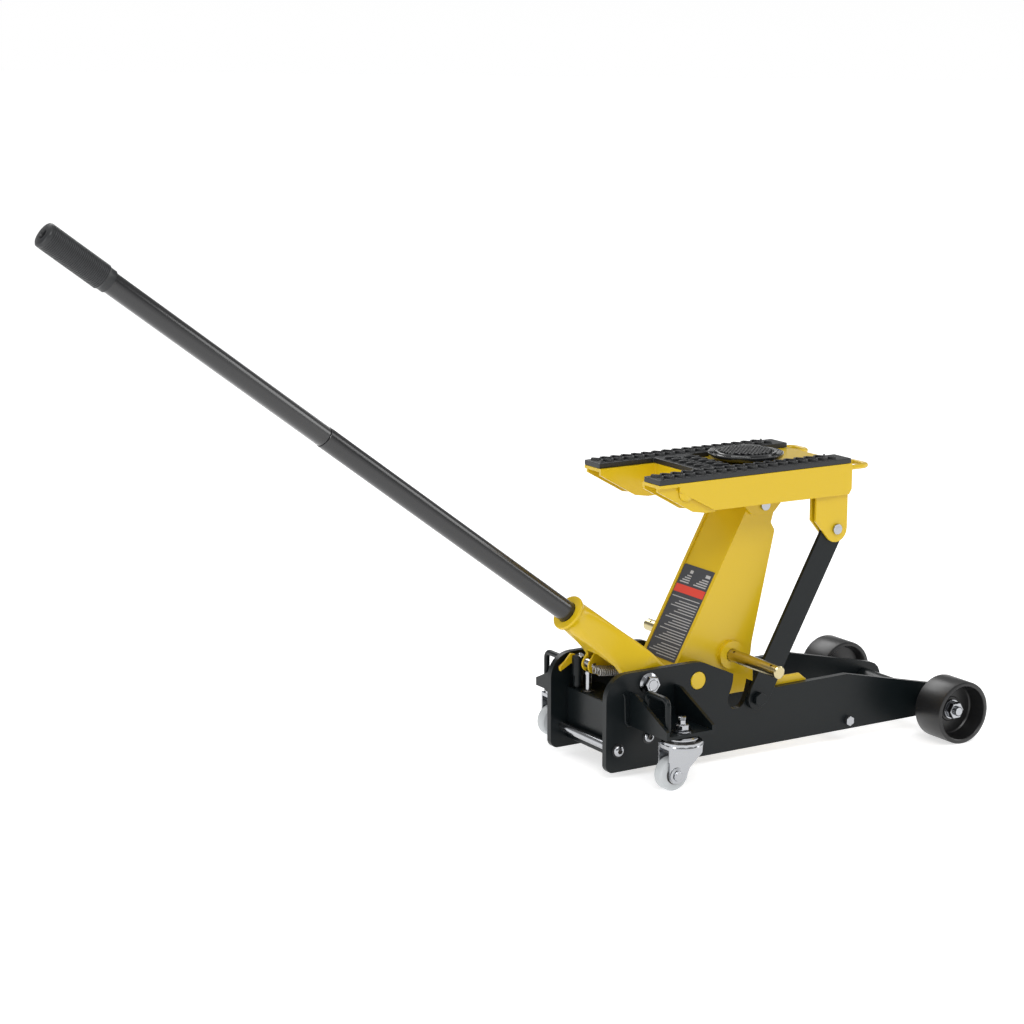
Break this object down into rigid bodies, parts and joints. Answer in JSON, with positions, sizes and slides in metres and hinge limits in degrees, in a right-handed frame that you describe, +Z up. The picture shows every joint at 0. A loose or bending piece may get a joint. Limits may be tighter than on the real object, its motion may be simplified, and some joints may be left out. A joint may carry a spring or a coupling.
{
  "type": "hydraulic floor jack",
  "caption": "Low hydraulic floor jack with a lifting platform on a levelling linkage, a long pump handle, front wheels and swivel casters.",
  "frame": {"origin": "centre of the bounding box in plan, on the ground", "axes": "+X from the handle towards the front wheels (longest), +Y to the left across the jack (shortest), +Z up"},
  "size_m": [1.1882, 0.3036, 0.6602],
  "materials": {
    "black_paint": "semi-gloss black paint",
    "yellow_paint": "gloss yellow paint",
    "zinc_plate": "bright zinc plating",
    "yellow_zinc": "pale yellow zinc plating",
    "nylon": "light grey nylon",
    "black_wheel": "satin black",
    "cast_housing": "dark grey cast housing",
    "label_film": "dark grey film with a red band, no text",
    "black_rubber": "moulded black rubber",
    "grip_rubber": "ribbed black rubber"
  },
  "bodies": {
    "frame": {"side_plate_right": "black_paint", "tie_rod_screw_right": "zinc_plate", "block_screw_right": "zinc_plate", "yoke_bolt_right": "zinc_plate", "arm_guide_right": "yellow_paint", "caster_bracket_right": "black_paint", "tie_down_loop_right": "black_paint", "axle_spacer_right": "black_paint", "axle_nut_right": "zinc_plate", "side_plate_left": "black_paint", "tie_rod_screw_left": "zinc_plate", "block_screw_left": "zinc_plate", "yoke_bolt_left": "zinc_plate", "arm_guide_left": "yellow_paint", "caster_bracket_left": "black_paint", "tie_down_loop_left": "black_paint", "axle_spacer_left": "black_paint", "axle_nut_left": "zinc_plate", "rear_cross_plate": "black_paint", "rear_tie_rod": "zinc_plate", "front_tie_bolt": "zinc_plate", "front_axle": "zinc_plate", "hydraulic_block": "cast_housing", "ram_cylinder": "cast_housing", "pump_body": "zinc_plate", "link_foot_bolt": "black_paint"},
    "lift_arm": {"lift_arm": "yellow_paint", "arm_pivot_shaft": "yellow_paint", "ram_pin": "zinc_plate", "data_label": "label_film", "top_pivot_pin": "zinc_plate"},
    "lock_pin": {"lock_pin": "yellow_zinc"},
    "platform": {"platform": "yellow_paint", "rubber_mat": "black_rubber", "platform_loop_right": "yellow_paint", "platform_loop_left": "yellow_paint", "link_head_pin": "zinc_plate"},
    "saddle": {"saddle": "black_paint"},
    "levelling_link": {"levelling_link": "black_paint"},
    "ram_rod": {"ram_rod": "zinc_plate"},
    "handle_socket": {"handle_socket": "yellow_paint", "pump_roller": "zinc_plate"},
    "handle_bar": {"handle_tube_lower": "black_paint", "handle_tube_upper": "black_paint", "handle_grip": "grip_rubber"},
    "pump_plunger": {"pump_plunger": "zinc_plate"},
    "release_shaft": {"release_shaft": "black_paint"},
    "front_wheel_right": {"front_wheel_right": "black_wheel"},
    "front_wheel_left": {"front_wheel_left": "black_wheel"},
    "caster_right": {"caster_fork_right": "zinc_plate", "caster_axle_right": "zinc_plate"},
    "caster_left": {"caster_fork_left": "zinc_plate", "caster_axle_left": "zinc_plate"},
    "caster_wheel_right": {"caster_wheel_right": "nylon"},
    "caster_wheel_left": {"caster_wheel_left": "nylon"}
  },
  "joints": [
    {"name": "lift_arm_raise", "type": "hinge", "parent": "frame", "child": "lift_arm", "pos_m": [0.20082, 0, 0.10596], "axis": [0, -1, 0], "range_deg": [-44, 0]},
    {"name": "platform_level", "type": "hinge", "parent": "lift_arm", "child": "platform", "pos_m": [0.30616, 0, 0.30647], "axis": [0, -1, 0], "range_deg": [0, 44]},
    {"name": "link_swing", "type": "hinge", "parent": "frame", "child": "levelling_link", "pos_m": [0.2863, -0.067, 0.07502], "axis": [0, -1, 0], "range_deg": [-44, 0]},
    {"name": "ram_stroke", "type": "slide", "parent": "frame", "child": "ram_rod", "axis": [0.9997, 0, 0.0242], "range_m": [-0.0345, 0]},
    {"name": "lock_pin_pull", "type": "slide", "parent": "lift_arm", "child": "lock_pin", "axis": [0, -1, 0], "range_m": [0, 0.29]},
    {"name": "saddle_turn", "type": "hinge", "parent": "platform", "child": "saddle", "pos_m": [0.30707, 0, 0.3536], "axis": [-0.0242, 0, 0.9997], "continuous": true},
    {"name": "handle_pump", "type": "hinge", "parent": "frame", "child": "handle_socket", "pos_m": [0.12867, 0, 0.11152], "axis": [0, 1, 0], "range_deg": [-30, 20]},
    {"name": "pump_stroke", "type": "slide", "parent": "frame", "child": "pump_plunger", "axis": [-0.0242, 0, 0.9997], "range_m": [-0.0112, 0.0075]},
    {"name": "handle_twist", "type": "hinge", "parent": "handle_socket", "child": "handle_bar", "pos_m": [0.14128, 0, 0.12917], "axis": [-0.8136, 0, 0.5815], "range_deg": [-90, 90]},
    {"name": "release_turn", "type": "hinge", "parent": "frame", "child": "release_shaft", "pos_m": [0.10215, 0.0465, 0.09957], "axis": [-0.0242, 0, 0.9997], "range_deg": [-90, 90]},
    {"name": "front_wheel_right_spin", "type": "hinge", "parent": "frame", "child": "front_wheel_right", "pos_m": [0.55463, -0.116, 0.03949], "axis": [0, 1, 0], "continuous": true},
    {"name": "caster_right_swivel", "type": "hinge", "parent": "frame", "child": "caster_right", "pos_m": [0.13425, -0.1278, 0.05434], "axis": [-0.0242, 0, 0.9997], "continuous": true},
    {"name": "caster_wheel_right_spin", "type": "hinge", "parent": "caster_right", "child": "caster_wheel_right", "pos_m": [0.12058, -0.1278, 0.01999], "axis": [0, 1, 0], "continuous": true},
    {"name": "front_wheel_left_spin", "type": "hinge", "parent": "frame", "child": "front_wheel_left", "pos_m": [0.55463, 0.116, 0.03949], "axis": [0, 1, 0], "continuous": true},
    {"name": "caster_left_swivel", "type": "hinge", "parent": "frame", "child": "caster_left", "pos_m": [0.13425, 0.1278, 0.05434], "axis": [-0.0242, 0, 0.9997], "continuous": true},
    {"name": "caster_wheel_left_spin", "type": "hinge", "parent": "caster_left", "child": "caster_wheel_left", "pos_m": [0.12058, 0.1278, 0.01999], "axis": [0, 1, 0], "continuous": true}
  ],
  "couplings": [
    {"joint": "platform_level", "follows": "lift_arm_raise", "ratio": -1},
    {"joint": "link_swing", "follows": "lift_arm_raise", "ratio": 1},
    {"joint": "ram_stroke", "follows": "lift_arm_raise", "m_per_rad": 0.0439},
    {"joint": "pump_stroke", "follows": "handle_pump", "m_per_rad": 0.0212},
    {"joint": "release_turn", "follows": "handle_twist", "ratio": 1}
  ]
}
